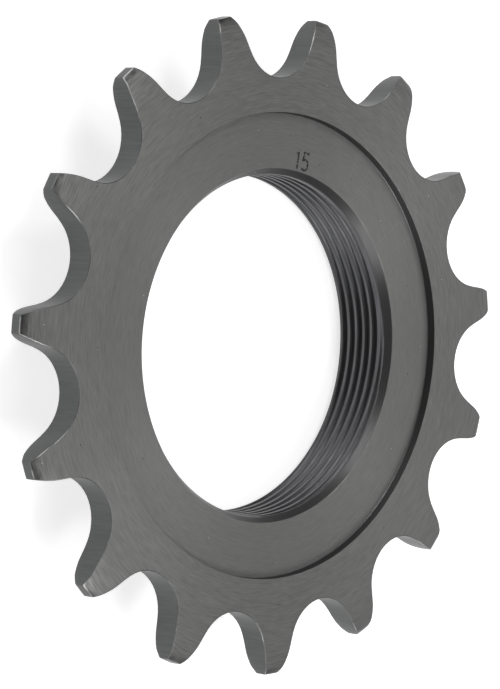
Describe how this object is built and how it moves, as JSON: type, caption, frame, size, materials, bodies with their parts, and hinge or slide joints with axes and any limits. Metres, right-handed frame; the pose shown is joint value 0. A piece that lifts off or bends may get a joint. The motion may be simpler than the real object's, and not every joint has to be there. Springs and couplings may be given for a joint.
{
  "type": "track cog",
  "caption": "One-piece steel cog with a toothed plate for a bicycle chain, a threaded bore through a boss behind it, and a shallow round recess in its outer face.",
  "frame": {"origin": "on the bore axis, in the plane of the boss's back face, which seats against the hub", "axes": "+Z along the bore axis, out of the hub, towards the recessed outer face; +Y through the middle of a gap between two teeth"},
  "size_m": [0.0658, 0.0655, 0.0084],
  "materials": {
    "steel": "turned, dark grey"
  },
  "bodies": {
    "root": {"track_cog": "steel"}
  },
  "joints": []
}
